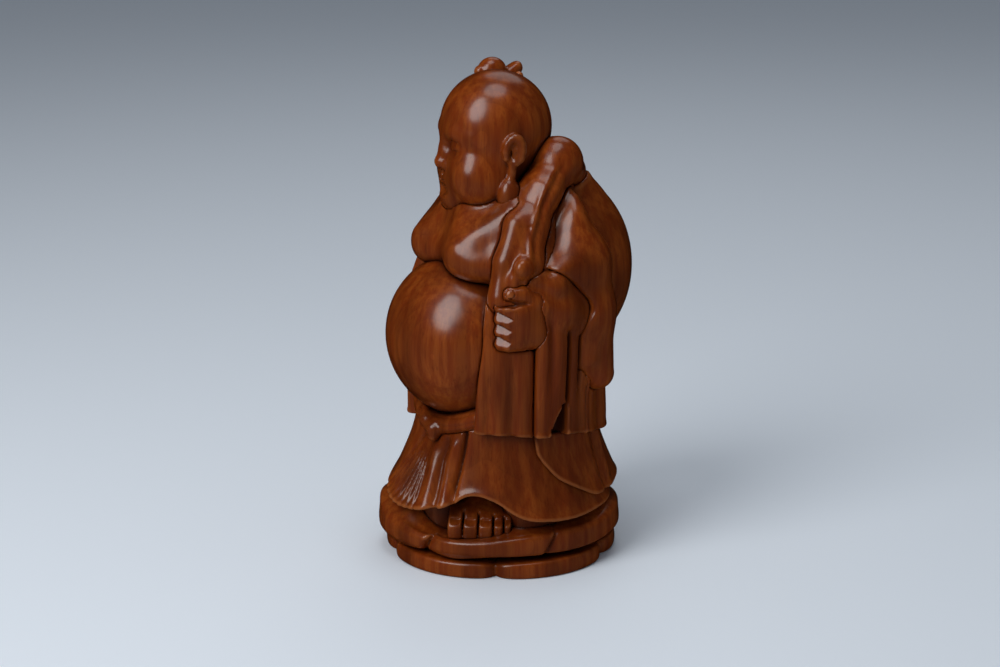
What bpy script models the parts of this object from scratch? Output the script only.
"""A carved wooden figure: a stout standing monk with a bare belly, who carries a sack over one shoulder and
holds up an ingot, on a two-tier rock base. It faces -Y, its own left is +X, and it stands on z = 0.

The whole figure is cut from one block, so nothing moves. Each carved form is a solid of its own, parted from
its neighbours along the grooves that the carver cut. Sizes below are millimetres.
"""

import math

import bmesh
import bpy
from mathutils import Euler, Matrix, Vector

MM = 0.001  # scene units are metres
GAP = 0.4  # left between two forms that meet
VOXEL = 1.3  # grid of the remesh that joins the rounded masses of one form
STAND = Vector((0.0, -3.8, 0.0))  # where the base's middle goes, so that the figure's box is centred

# base
BASE_R = 45.5
BASE_R_SWING = 1.5  # both tiers are ovals, longest along LONG_WAY
LOBES = 5
FIRST_CLEFT = -31.0  # degrees, from +X towards +Y
CLEFT_DEPTH = 4.0
CLEFT_WIDTH = 5.0  # degrees
LOWER_TOP = 7.0
UPPER_BOTTOM = LOWER_TOP + GAP
UPPER_R = 47.0
UPPER_R_SWING = 3.0
LONG_WAY = 62.0  # degrees
RIM_TOP = 16.5
RIM_SWING = 3.5
TREAD = 14.0  # height of the ledge that the feet stand on

# clothes
HEM = 22.0
ARCH = 13.5  # how far the hem lifts over a foot
WAIST = 60.0
COAT_HEM = 60.0  # at the front
COAT_HEM_DROP = 6.0  # how much lower the hem is at the back
CLOTH = 2.6  # thickness of the coat's tail
COAT_EDGES = (  # the coat's front edge from hem to neck: height, degrees from the side, radius
    (COAT_HEM, -43.5, 41.5),
    (68.0, -42.5, 42.0),
    (80.0, -40.5, 43.5),
    (96.0, -37.5, 44.0),
    (108.0, -37.0, 42.5),
    (122.0, -33.0, 38.5),
    (136.0, -27.0, 33.5),
    (146.0, -22.0, 29.0),
    (154.0, -16.0, 22.0),
    (158.0, -12.0, 14.0),
)
COAT_SIDE_R = (41.5, 41.5, 42.0, 42.5, 42.0, 39.5, 35.0, 30.0, 22.0, 13.0)  # at those heights
COAT_BACK_R = (44.0, 43.5, 42.0, 38.0, 33.0, 30.0, 26.0, 23.0, 18.0, 12.0)
COAT_FRONT_R = 18.0  # the coat's solid goes no further forward than this, behind the belly and chest
FOOT_TURN = 57.0  # degrees that each foot points outwards
FOOT = Vector((27.0, -24.0, TREAD))  # middle of the left foot's toes

# body
BELLY = Vector((0.0, -15.5, 92.5))
BELLY_R = (35.0, 32.4, 33.6)
CRANIUM = Vector((-0.5, -1.8, 176.8))
CRANIUM_R = (21.8, 22.4, 22.2)
HEAD_TURN = -12.0  # degrees, towards the figure's right
FIST = Vector((37.5, -10.5, 106.0))
SACK = Vector((0.0, 22.5, 117.5))
SACK_R = (34.0, 34.0, 38.5)
INGOT = Vector((-26.0, 12.5, 192.9))

WOOD = (0.27, 0.06, 0.012)
ROUGHNESS = 0.28


def clear_scene():
    for obj in list(bpy.data.objects):
        bpy.data.objects.remove(obj, do_unlink=True)


def wood_material(name):
    material = bpy.data.materials.new(name)
    material.use_nodes = True
    shader = material.node_tree.nodes["Principled BSDF"]
    shader.inputs["Base Color"].default_value = (*WOOD, 1.0)
    shader.inputs["Roughness"].default_value = ROUGHNESS
    shader.inputs["Metallic"].default_value = 0.0
    return material


def add_ball(form, centre, radii, turn=(0, 0, 0), segments=28):
    """An ellipsoid, turned by Euler angles in degrees."""
    place = Matrix.LocRotScale(
        Vector(centre) * MM,
        Euler([math.radians(a) for a in turn]),
        Vector(radii) * MM,
    )
    bmesh.ops.create_uvsphere(
        form, u_segments=segments, v_segments=segments // 2, radius=1.0, matrix=place
    )


def add_hull(form, balls):
    """The skin stretched over some balls, each (x, y, z, radius): a limb, or a fold of cloth."""
    part = bmesh.new()
    for x, y, z, radius in balls:
        add_ball(part, (x, y, z), (radius,) * 3, segments=16)
    made = bmesh.ops.convex_hull(part, input=part.verts)
    loose = [v for v in made["geom_interior"] if isinstance(v, bmesh.types.BMVert)]
    bmesh.ops.delete(part, geom=loose, context="VERTS")
    scrap = bpy.data.meshes.new("hull")
    part.to_mesh(scrap)
    part.free()
    form.from_mesh(scrap)
    bpy.data.meshes.remove(scrap)


def add_limb(form, balls):
    """A run of balls, each joined to the next by a hull."""
    for pair in zip(balls, balls[1:]):
        add_hull(form, pair)


def mirrored(balls):
    return [(-x, y, z, radius) for x, y, z, radius in balls]


def evaluated(obj):
    """The object's mesh with its modifiers applied."""
    graph = bpy.context.evaluated_depsgraph_get()
    mesh = bpy.data.meshes.new_from_object(obj.evaluated_get(graph))
    obj.modifiers.clear()
    old, obj.data = obj.data, mesh
    bpy.data.meshes.remove(old)
    mesh.name = obj.name
    return mesh


def new_object(name, form):
    bmesh.ops.recalc_face_normals(form, faces=form.faces)
    bmesh.ops.triangulate(form, faces=form.faces)
    mesh = bpy.data.meshes.new(name)
    form.to_mesh(mesh)
    form.free()
    obj = bpy.data.objects.new(name, mesh)
    bpy.context.scene.collection.objects.link(obj)
    return obj


def rounded(name, form, triangles, smooth=8, voxel=VOXEL):
    """Joins a form's masses into one skin, softens it, and thins it to about so many triangles."""
    obj = new_object(name, form)
    remesh = obj.modifiers.new("join", "REMESH")
    remesh.mode = "VOXEL"
    remesh.voxel_size = voxel * MM
    soften = obj.modifiers.new("soften", "SMOOTH")
    soften.factor = 0.5
    soften.iterations = smooth
    evaluated(obj)
    count = sum(len(p.vertices) - 2 for p in obj.data.polygons)
    thin = obj.modifiers.new("thin", "DECIMATE")
    thin.ratio = min(1.0, triangles / count)
    evaluated(obj)
    return obj


def round_the_axis(angle, radius, height):
    turn = math.radians(angle)
    return Vector((radius * math.cos(turn), radius * math.sin(turn), height)) * MM


def turned(name, rows, columns):
    """A closed solid round the Z axis. Each row, from the bottom, is a function from a share of the turn,
    0 to 1, to (angle in degrees, radius, height)."""
    form = bmesh.new()
    rings = [
        [form.verts.new(round_the_axis(*row(i / columns))) for i in range(columns)]
        for row in rows
    ]
    for low, high in zip(rings, rings[1:]):
        for i in range(columns):
            j = (i + 1) % columns
            form.faces.new((low[i], low[j], high[j], high[i]))
    for ring in (rings[0], rings[-1]):
        height = sum(v.co.z for v in ring) / columns
        hub = form.verts.new((0.0, 0.0, height))
        for i in range(columns):
            form.faces.new((ring[i], ring[(i + 1) % columns], hub))
    return new_object(name, form)


def sheet(name, outer, inner, columns, rows):
    """A closed sheet between two skins, each a function of shares u, round the axis, and v, from the
    bottom, to (angle, radius, height)."""
    form = bmesh.new()
    skins = [
        [
            [form.verts.new(round_the_axis(*skin(i / columns, j / rows))) for i in range(columns + 1)]
            for j in range(rows + 1)
        ]
        for skin in (outer, inner)
    ]
    for grid in skins:
        for low, high in zip(grid, grid[1:]):
            for i in range(columns):
                form.faces.new((low[i], low[i + 1], high[i + 1], high[i]))
    borders = []
    for grid in skins:
        around = grid[0] + [row[-1] for row in grid[1:]]
        around += grid[-1][-2::-1] + [row[0] for row in grid[-2:0:-1]]
        borders.append(around)
    out, back = borders
    for i in range(len(out)):
        j = (i + 1) % len(out)
        form.faces.new((out[i], out[j], back[j], back[i]))
    return new_object(name, form)


def keep_largest_body(obj):
    """Drops the crumbs that a cut can leave beside the main body."""
    form = bmesh.new()
    form.from_mesh(obj.data)
    bmesh.ops.remove_doubles(form, verts=form.verts, dist=0.01 * MM)
    bmesh.ops.dissolve_degenerate(form, edges=form.edges, dist=0.01 * MM)
    left, bodies = set(form.faces), []
    while left:
        stack, body = [left.pop()], []
        while stack:
            face = stack.pop()
            body.append(face)
            joints = [edge for edge in face.edges if len(edge.link_faces) == 2]
            for other in {other for edge in joints for other in edge.link_faces} & left:
                left.remove(other)
                stack.append(other)
        bodies.append(body)
    bodies.sort(key=lambda body: sum(face.calc_area() for face in body))
    for body in bodies[:-1]:
        bmesh.ops.delete(form, geom=body, context="FACES")
    form.to_mesh(obj.data)
    form.free()


def grown_copy(obj):
    """A hidden copy of a form, larger all round by the gap that its neighbour leaves to it."""
    cutter = bpy.data.objects.new(obj.name + "_cutter", obj.data.copy())
    bpy.context.scene.collection.objects.link(cutter)
    grow = cutter.modifiers.new("grow", "DISPLACE")
    grow.strength = GAP * MM
    grow.mid_level = 0.0
    evaluated(cutter)
    cutter.hide_render = True
    cutter.display_type = "WIRE"
    return cutter


def seat(lower, *uppers):
    """Cuts from a form the room that the forms lying on it take, with a gap."""
    for upper in uppers:
        cutter = grown_copy(upper)
        cut = lower.modifiers.new("seat", "BOOLEAN")
        cut.operation = "DIFFERENCE"
        cut.solver = "EXACT"
        cut.use_self = True
        cut.object = cutter
        evaluated(lower)
        bpy.data.objects.remove(cutter, do_unlink=True)
    keep_largest_body(lower)


def apart(angle, other):
    """Degrees from one angle to another, from -180 to 180."""
    return (angle - other + 180.0) % 360.0 - 180.0


def bump(angle, middle, width):
    return math.exp(-((apart(angle, middle) / width) ** 2))


def oval(angle):
    """1 along the base's long way, -1 across it."""
    return math.cos(math.radians(2.0 * (angle - LONG_WAY)))


# ---- base -----------------------------------------------------------------------------------------------


def lobed(angle):
    clefts = sum(
        bump(angle, FIRST_CLEFT + 360.0 * i / LOBES, CLEFT_WIDTH) for i in range(LOBES)
    )
    return BASE_R + BASE_R_SWING * oval(angle) - CLEFT_DEPTH * clefts


def full_turn(radius, height):
    """A row of turned(), from functions of the angle."""
    return lambda share: (360.0 * share, radius(360.0 * share), height(360.0 * share))


def base_lower_tier():
    edge = 0.9
    rows = [
        full_turn(lambda a: lobed(a) - edge, lambda a: 0.0),
        full_turn(lobed, lambda a: edge),
        full_turn(lobed, lambda a: LOWER_TOP - edge),
        full_turn(lambda a: lobed(a) - edge, lambda a: LOWER_TOP),
    ]
    return turned("base_lower_tier", rows, columns=60)


def base_upper_tier():
    tread_r = 30.0

    def rim(angle):
        return UPPER_R + UPPER_R_SWING * oval(angle)

    def top(angle):
        return RIM_TOP + RIM_SWING * oval(angle)

    rows = [
        full_turn(lambda a: BASE_R - 3.5, lambda a: UPPER_BOTTOM),
        full_turn(lambda a: rim(a) - 1.2, lambda a: UPPER_BOTTOM + 1.6),
        full_turn(rim, lambda a: top(a) - 3.0),
        full_turn(lambda a: rim(a) - 1.5, lambda a: top(a) - 0.6),
        full_turn(lambda a: rim(a) - 4.0, top),
        full_turn(lambda a: tread_r, lambda a: TREAD + 0.6 * (top(a) - RIM_TOP)),
    ]
    return turned("base_upper_tier", rows, columns=40)


# ---- feet and skirt -------------------------------------------------------------------------------------


def foot(name, side):
    """A bare foot, its heel under the skirt. Five toes lie side by side across its end."""
    length, width, toe_r = 21.0, 4.7, 2.9
    turn = math.radians(FOOT_TURN)
    ahead = Vector((math.sin(turn), -math.cos(turn), 0.0))
    across = Vector((-ahead.y, ahead.x, 0.0))
    up = Vector((0.0, 0.0, 1.0))
    form = bmesh.new()
    knuckles = [FOOT + across * ((i - 2) * width) - ahead * 6.0 + up * 4.4 for i in range(5)]
    instep = FOOT - ahead * (length * 0.45) + up * 8.0
    heel = FOOT - ahead * length + up * 7.0
    sole = [(*heel, 8.0), (*instep, 7.5), *[(*k, toe_r + 0.6) for k in knuckles]]
    add_hull(form, sole if side > 0 else mirrored(sole))
    for i, knuckle in enumerate(knuckles):
        tip = FOOT + across * ((i - 2) * width * 1.04) + up * toe_r
        toe = [(*knuckle, toe_r), (*tip, toe_r - 0.3)]
        add_hull(form, toe if side > 0 else mirrored(toe))
    return rounded(name, form, triangles=300, smooth=3, voxel=0.9)


def skirt_hem(angle):
    left = bump(angle, -42.0, 23.0)
    right = bump(angle, -138.0, 23.0)
    return HEM + ARCH * max(left, right)


def skirt_radius(angle, height):
    """The skirt's outside. It flares to the hem and has narrow pleats down its front."""
    waist = 36.0 - 4.5 * bump(angle, -90.0, 32.0)
    flare = 46.5 + 4.0 * bump(angle, -118.0, 28.0)
    curve, pleat_depth, pleats_per_turn = 1.5, 0.7, 36.0
    share = min(1.0, max(0.0, (height - HEM) / (WAIST - HEM)))
    fold = 2.5 * bump(angle, -140.0, 10.0) * share
    wave = math.cos(math.radians(apart(angle, -100.0) * pleats_per_turn))
    pleats = pleat_depth * wave * bump(angle, -105.0, 16.0)
    return waist + (flare - waist) * (1.0 - share) ** curve + pleats + fold


def skirt():
    hollow = 4.0  # the hem is hollow underneath, this far in
    top = WAIST + 4.0

    def rise(share):
        def height(angle):
            low = skirt_hem(angle)
            return low + (top - low) * share

        return full_turn(lambda a: skirt_radius(a, height(a)), height)

    rows = [
        full_turn(lambda a: 24.0, lambda a: skirt_hem(a) + 2.0),
        full_turn(lambda a: skirt_radius(a, skirt_hem(a)) - hollow, lambda a: skirt_hem(a) + 0.8),
        *[rise(i / 4.0) for i in range(5)],
    ]
    return turned("skirt", rows, columns=72)


def tail_hem(angle):
    """The coat's tail hangs lowest at each side of the back, and rises to the front along a curved edge."""
    corner, corner_z, middle_z, front = 45.0, 27.0, 34.0, 97.0
    back = abs(apart(angle, 90.0))
    if back < corner:
        return middle_z - (middle_z - corner_z) * (back / corner) ** 2
    share = (back - corner) / (front - corner)
    return corner_z + (WAIST - 4.0 - corner_z) * share**2.6


def coat_tail():
    """The coat's longer back, a sheet that lies over the skirt."""
    first, last = -6.0, 186.0

    def place(share, rise):
        angle = first + (last - first) * share
        low = tail_hem(angle)
        return angle, low + (WAIST - low) * rise

    def outer(share, rise):
        angle, height = place(share, rise)
        fold = 1.0 + 2.2 * (1.0 - rise) * (bump(angle, 68.0, 12.0) + bump(angle, 112.0, 12.0))
        return angle, skirt_radius(angle, height) + 2.0 * GAP + CLOTH * fold, height

    def inner(share, rise):
        angle, height = place(share, rise)
        return angle, skirt_radius(angle, height) + 2.0 * GAP, height

    return sheet("coat_tail", outer, inner, columns=32, rows=4)


# ---- body and coat --------------------------------------------------------------------------------------


def coat():
    """The coat's solid: back, sides and front panels, open down the front between its two edges."""
    cloth_share = 0.78  # of the columns, the rest lie in the open front

    def row(level):
        height, edge, edge_r = COAT_EDGES[level]
        side_r, back_r = COAT_SIDE_R[level], COAT_BACK_R[level]

        def at(share):
            if share <= cloth_share:
                angle = edge + (180.0 - 2.0 * edge) * share / cloth_share
                from_back = abs(apart(angle, 90.0)) / 90.0
                drop = COAT_HEM_DROP * max(0.0, 1.0 - from_back) ** 0.5 if level == 0 else 0.0
                if from_back <= 1.0:
                    radius = back_r + (side_r - back_r) * from_back**2
                else:
                    forward = (from_back - 1.0) * 90.0 / -edge
                    radius = side_r + (edge_r - side_r) * forward
                return angle, radius, height - drop
            step = (share - cloth_share) / (1.0 - cloth_share)
            angle = 180.0 - edge + (180.0 + 2.0 * edge) * step
            return angle, min(COAT_FRONT_R, edge_r - 2.0), height

        return at

    return turned("coat", [row(i) for i in range(len(COAT_EDGES))], columns=48)


def belly():
    form = bmesh.new()
    add_ball(form, BELLY, BELLY_R, segments=40)
    return rounded("belly", form, triangles=560, smooth=2)


def chest():
    """Two heavy breasts that sag over the belly, and the slope from them up to the neck."""
    form = bmesh.new()
    breast = [(17.0, -19.0, 124.5, 10.5), (15.0, -16.5, 132.0, 11.5), (24.0, -8.0, 132.0, 13.0)]
    for balls in (breast, mirrored(breast)):
        add_hull(form, balls)
    slope = [(17.0, -4.0, 141.0, 11.0), (-17.0, -4.0, 141.0, 11.0), (0.0, -4.0, 148.0, 12.0)]
    add_hull(form, slope + [(13.0, -16.0, 130.0, 11.5), (-13.0, -16.0, 130.0, 11.5)])
    return rounded("chest", form, triangles=440)


def belt_sash():
    """The band that the belly rests on, with its knot in the middle of the front."""
    form = bmesh.new()
    arc = []
    for i in range(15):
        angle = -150.0 + 120.0 * i / 14
        sag = math.sin(math.pi * i / 14)
        turn = math.radians(angle)
        radius = 36.0 - 5.5 * sag
        arc.append((radius * math.cos(turn), radius * math.sin(turn), 68.0 - 9.5 * sag, 3.2))
    add_limb(form, arc)
    add_hull(form, [(-3.0, -31.5, 57.0, 3.2), (3.0, -31.5, 57.5, 3.2), (1.5, -33.0, 52.5, 2.4)])
    return rounded("belt_sash", form, triangles=260, smooth=4, voxel=1.0)


# ---- left arm and sack ----------------------------------------------------------------------------------


def left_upper_arm():
    """Shoulder and upper arm under the coat's cloth, which hangs behind the elbow to a blunt point."""
    form = bmesh.new()
    add_hull(form, [(25.0, 9.0, 146.0, 12.5), (31.0, 18.0, 125.0, 12.5), (31.0, 8.0, 126.0, 11.5)])
    add_hull(form, [(31.0, 18.0, 125.0, 12.5), (31.0, 8.0, 126.0, 11.5), (32.0, 20.0, 106.0, 12.0)])
    add_hull(form, [(32.0, 20.0, 106.0, 12.0), (34.0, 22.0, 88.0, 8.5), (35.0, 25.0, 78.0, 5.5)])
    return rounded("left_upper_arm", form, triangles=320)


def left_sleeve():
    """The forearm's sleeve, whose cloth falls from the arm to the coat's hem in upright folds."""
    form = bmesh.new()
    add_limb(form, [(33.0, 19.0, 101.0, 9.5), (36.0, 7.0, 106.0, 9.5), (37.5, -5.0, 107.5, 9.0)])
    folds = ((-4.0, -7.0, 40.5, 4.5), (4.0, 2.0, 41.0, 4.0), (13.0, 10.0, 39.5, 4.0))
    for top_y, foot_y, foot_x, radius in folds:
        top_x = 39.0 - 0.1 * top_y
        add_hull(form, [(top_x, top_y, 101.0, 6.0), (foot_x, foot_y, 64.5, radius)])
    behind = [(34.0, -4.0, 100.0, 7.0), (33.0, 14.0, 98.0, 7.0)]
    add_hull(form, behind + [(37.0, -5.0, 65.0, 4.0), (35.0, 12.0, 65.0, 4.0)])
    return rounded("left_sleeve", form, triangles=380)


def left_hand():
    """A fist with four fingers, one above another, and the thumb over them."""
    finger_r, finger_gap = 2.7, 4.9
    form = bmesh.new()
    add_hull(
        form,
        [
            (*(FIST + Vector((1.0, 3.0, 6.0))), 6.0),
            (*(FIST + Vector((1.0, 3.0, -5.0))), 6.0),
            (*(FIST + Vector((1.5, -2.0, 5.0))), 5.0),
            (*(FIST + Vector((1.5, -2.0, -5.0))), 5.0),
        ],
    )
    for i in range(4):
        height = (1.5 - i) * finger_gap - 0.5
        root = FIST + Vector((3.5, -2.0, height))
        bend = FIST + Vector((1.0, -9.0, height))
        tip = FIST + Vector((-4.0, -11.5, height))
        add_limb(form, [(*root, finger_r), (*bend, finger_r), (*tip, finger_r - 0.3)])
    thumb = [FIST + Vector((1.0, 2.0, 10.0)), FIST + Vector((1.0, -4.5, 11.0))]
    add_limb(form, [(*thumb[0], 3.6), (*thumb[1], 3.0)])
    return rounded("left_hand", form, triangles=440, smooth=5, voxel=0.9)


def sack_neck():
    """The sack's gathered mouth, pulled over the shoulder and down into the fist."""
    form = bmesh.new()
    add_limb(
        form,
        [
            (36.0, -15.0, 102.0, 5.5),
            (35.0, -12.5, 114.0, 7.0),
            (32.5, -8.5, 128.0, 8.0),
            (29.0, -2.5, 142.0, 8.4),
            (24.5, 5.0, 153.5, 8.4),
            (17.5, 16.5, 163.0, 9.2),
            (8.0, 24.0, 157.0, 10.0),
        ],
    )
    return rounded("sack_neck", form, triangles=340)


def sack():
    form = bmesh.new()
    add_ball(form, SACK, SACK_R, turn=(0, -6, 0), segments=36)
    add_hull(form, [(4.0, 24.0, 148.0, 13.0), (-2.0, 26.0, 136.0, 18.0)])
    return rounded("sack", form, triangles=560)


# ---- right arm ------------------------------------------------------------------------------------------


def right_arm():
    """The raised arm. Its sleeve has slid down to the elbow, and hangs to the coat's hem."""
    form = bmesh.new()
    add_limb(form, [(-25.0, 5.0, 144.0, 12.0), (-34.0, 10.0, 143.0, 9.5)])
    add_limb(form, [(-34.0, 10.0, 143.0, 9.0), (-31.5, 11.0, 158.0, 7.0), (-27.5, 11.5, 173.0, 5.2)])
    add_hull(form, [(-34.0, 10.0, 143.0, 9.5), (-29.0, 2.0, 132.0, 12.0), (-34.0, 14.0, 122.0, 10.0)])
    hang = [(-34.0, 14.0, 122.0, 10.0), (-34.0, 0.0, 118.0, 10.0)]
    add_hull(form, hang + [(-38.0, 2.0, 66.0, 4.5), (-35.0, 18.0, 66.0, 4.5)])
    return rounded("right_arm", form, triangles=480)


def right_hand():
    """The palm and fingers that hold the ingot up from below and behind."""
    form = bmesh.new()
    wrist = INGOT + Vector((-1.5, -0.5, -18.5))
    palm = INGOT + Vector((-0.5, 1.0, -9.5))
    add_hull(form, [(*wrist, 4.6), (*palm, 5.0), (*(palm + Vector((1.5, -3.0, 0.5))), 4.6)])
    for i in range(4):
        root = palm + Vector((-5.0 + 3.6 * i, 2.8, 0.5))
        bend = root + Vector((0.0, 3.2, 4.5))
        tip = root + Vector((0.0, 3.2, 8.5))
        add_limb(form, [(*root, 2.3), (*bend, 2.2), (*tip, 2.0)])
    root = palm + Vector((-3.0, -4.0, -2.0))
    bend = root + Vector((-3.0, -2.0, 4.0))
    tip = root + Vector((-3.0, -2.5, 7.5))
    add_limb(form, [(*root, 2.8), (*bend, 2.5), (*tip, 2.3)])
    return rounded("right_hand", form, triangles=320, smooth=3, voxel=0.9)


def ingot():
    """A boat-shaped ingot: a hull with two raised ends, and a dome in the middle."""
    form = bmesh.new()
    keel = [(*(INGOT + Vector((0.0, y, -2.0))), 3.6) for y in (-4.0, 4.0)]
    for end, radius in ((Vector((0.0, -8.0, 1.4)), 2.5), (Vector((0.0, 8.2, 1.8)), 3.0)):
        add_hull(form, keel + [(*(INGOT + end), radius)])
    add_ball(form, INGOT + Vector((0.0, -2.6, 1.2)), (5.2, 6.0, 5.8), segments=20)
    return rounded("ingot", form, triangles=240, smooth=3, voxel=0.8)


# ---- head -----------------------------------------------------------------------------------------------


def head():
    """A shaven head with full cheeks and long ear lobes, modelled facing ahead and then turned a little."""
    form = bmesh.new()
    pivot = Vector((CRANIUM.x, CRANIUM.y, 0.0))
    add_ball(form, CRANIUM - pivot, CRANIUM_R, segments=36)
    add_hull(
        form,
        [
            (0.0, -3.0, 168.0, 18.5),
            (8.5, -7.0, 157.5, 12.0),
            (-8.5, -7.0, 157.5, 12.0),
            (0.0, -13.0, 151.0, 9.0),
            (0.0, -5.0, 151.0, 11.5),
        ],
    )
    nose = [(0.0, -21.5, 168.0, 1.6), (2.0, -22.5, 162.0, 2.0), (-2.0, -22.5, 162.0, 2.0)]
    add_hull(form, nose + [(0.0, -24.0, 162.4, 2.0)])
    for side in (-1, 1):
        ear = [(20.0, 0.5, 173.0, 2.4), (21.5, 2.5, 169.0, 3.4), (19.5, 0.5, 161.0, 2.2)]
        lobe = [(19.5, 0.5, 161.0, 2.2), (19.0, -0.5, 151.5, 4.2), (19.0, -0.8, 148.0, 3.8)]
        for run in (ear, lobe):
            add_limb(form, run if side > 0 else mirrored(run))
    turn = Matrix.Translation(pivot * MM) @ Matrix.Rotation(math.radians(HEAD_TURN), 4, "Z")
    bmesh.ops.transform(form, matrix=turn, verts=form.verts)
    return rounded("head", form, triangles=1000, smooth=4, voxel=1.1)


# ---- assembly -------------------------------------------------------------------------------------------


def build():
    clear_scene()
    parts = {
        make.__name__: make()
        for make in (
            base_lower_tier,
            base_upper_tier,
            skirt,
            coat_tail,
            coat,
            belly,
            chest,
            belt_sash,
            left_upper_arm,
            left_sleeve,
            left_hand,
            sack_neck,
            sack,
            right_arm,
            right_hand,
            ingot,
            head,
        )
    }
    parts["left_foot"] = foot("left_foot", 1)
    parts["right_foot"] = foot("right_foot", -1)
    # Each form, from the deepest, with the forms that lie on it or in front of it.
    seats = (
        ("base_upper_tier", ("left_foot", "right_foot", "skirt")),
        ("left_foot", ("skirt",)),
        ("right_foot", ("skirt",)),
        ("skirt", ("coat", "belly", "belt_sash", "coat_tail")),
        ("coat_tail", ("coat",)),
        ("belt_sash", ("belly", "coat")),
        ("belly", ("chest", "coat", "left_hand", "sack_neck")),
        ("chest", ("head", "sack_neck", "coat", "left_upper_arm", "right_arm")),
        ("coat", ("head", "sack_neck", "sack", "left_upper_arm", "right_arm", "left_sleeve", "left_hand")),
        ("left_sleeve", ("left_upper_arm", "left_hand", "sack_neck", "sack")),
        ("left_upper_arm", ("sack_neck", "sack", "head")),
        ("right_arm", ("sack", "right_hand", "head")),
        ("sack", ("sack_neck", "head")),
        ("sack_neck", ("left_hand", "head")),
        ("right_hand", ("ingot", "head")),
        ("head", ("ingot",)),
    )
    for name, uppers in seats:
        seat(parts[name], *[parts[upper] for upper in uppers])
    for obj in parts.values():
        obj.data.transform(Matrix.Translation(STAND * MM))
        obj.data.materials.clear()
        obj.data.materials.append(wood_material(obj.name + "_wood"))
        obj.data.shade_smooth()
        obj.data.set_sharp_from_angle(angle=math.radians(40.0))


build()
